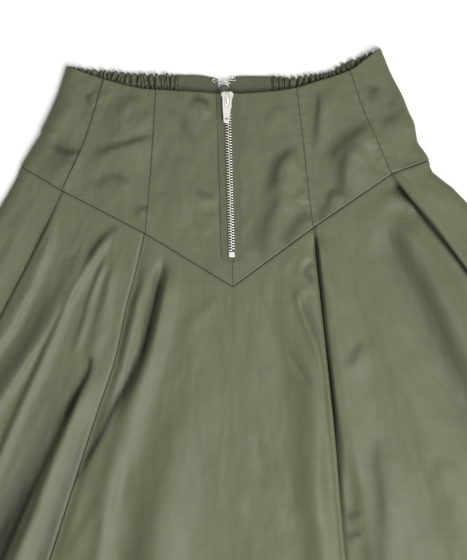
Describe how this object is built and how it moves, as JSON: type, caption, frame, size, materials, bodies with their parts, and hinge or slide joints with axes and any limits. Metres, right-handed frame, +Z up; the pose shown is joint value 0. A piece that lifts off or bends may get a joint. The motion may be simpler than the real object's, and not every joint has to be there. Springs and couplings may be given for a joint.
{
  "type": "corset skirt",
  "caption": "Flared skirt laid flat, with a pointed corset yoke, exposed front zip, pleats below the yoke, and an elasticated back waist with a concealed zip, hook and eye.",
  "frame": {"origin": "on the surface it lies on, under the middle of the whole skirt's box", "axes": "+Z up from the surface, +Y from the hem towards the waist, +X to the right as seen from above"},
  "size_m": [1.2034, 0.8187, 0.0234],
  "materials": {
    "satin": "woven polyester satin with a soft sheen, olive green",
    "tape": "matt woven zip tape, olive green",
    "nickel": "polished nickel plate",
    "painted": "lacquered olive grey"
  },
  "bodies": {
    "root": {"yoke_side_left": "satin", "yoke_princess_left": "satin", "yoke_centre_left": "satin", "yoke_centre_right": "satin", "yoke_princess_right": "satin", "yoke_side_right": "satin", "front_centre_panel": "satin", "front_under_left_panel": "satin", "front_under_right_panel": "satin", "front_side_left_panel": "satin", "front_side_right_panel": "satin", "back_panel_left": "satin", "back_panel_right": "satin", "back_band_left": "satin", "back_band_right": "satin", "back_elastic_left": "satin", "back_elastic_right": "satin", "back_zip_tape": "tape", "back_zip_slider": "painted", "hook": "nickel", "eye": "nickel", "zip_tape_left": "tape", "zip_tape_right": "tape", "zip_chain": "nickel", "zip_stop": "nickel", "zip_slider": "nickel"},
    "pull_tab": {"zip_pull_tab": "nickel"}
  },
  "joints": [
    {"name": "pull_tab_hinge", "type": "hinge", "parent": "root", "child": "pull_tab", "pos_m": [-0.025, 0.36749, 0.0135], "axis": [-1, 0, 0], "range_deg": [0, 170]}
  ]
}
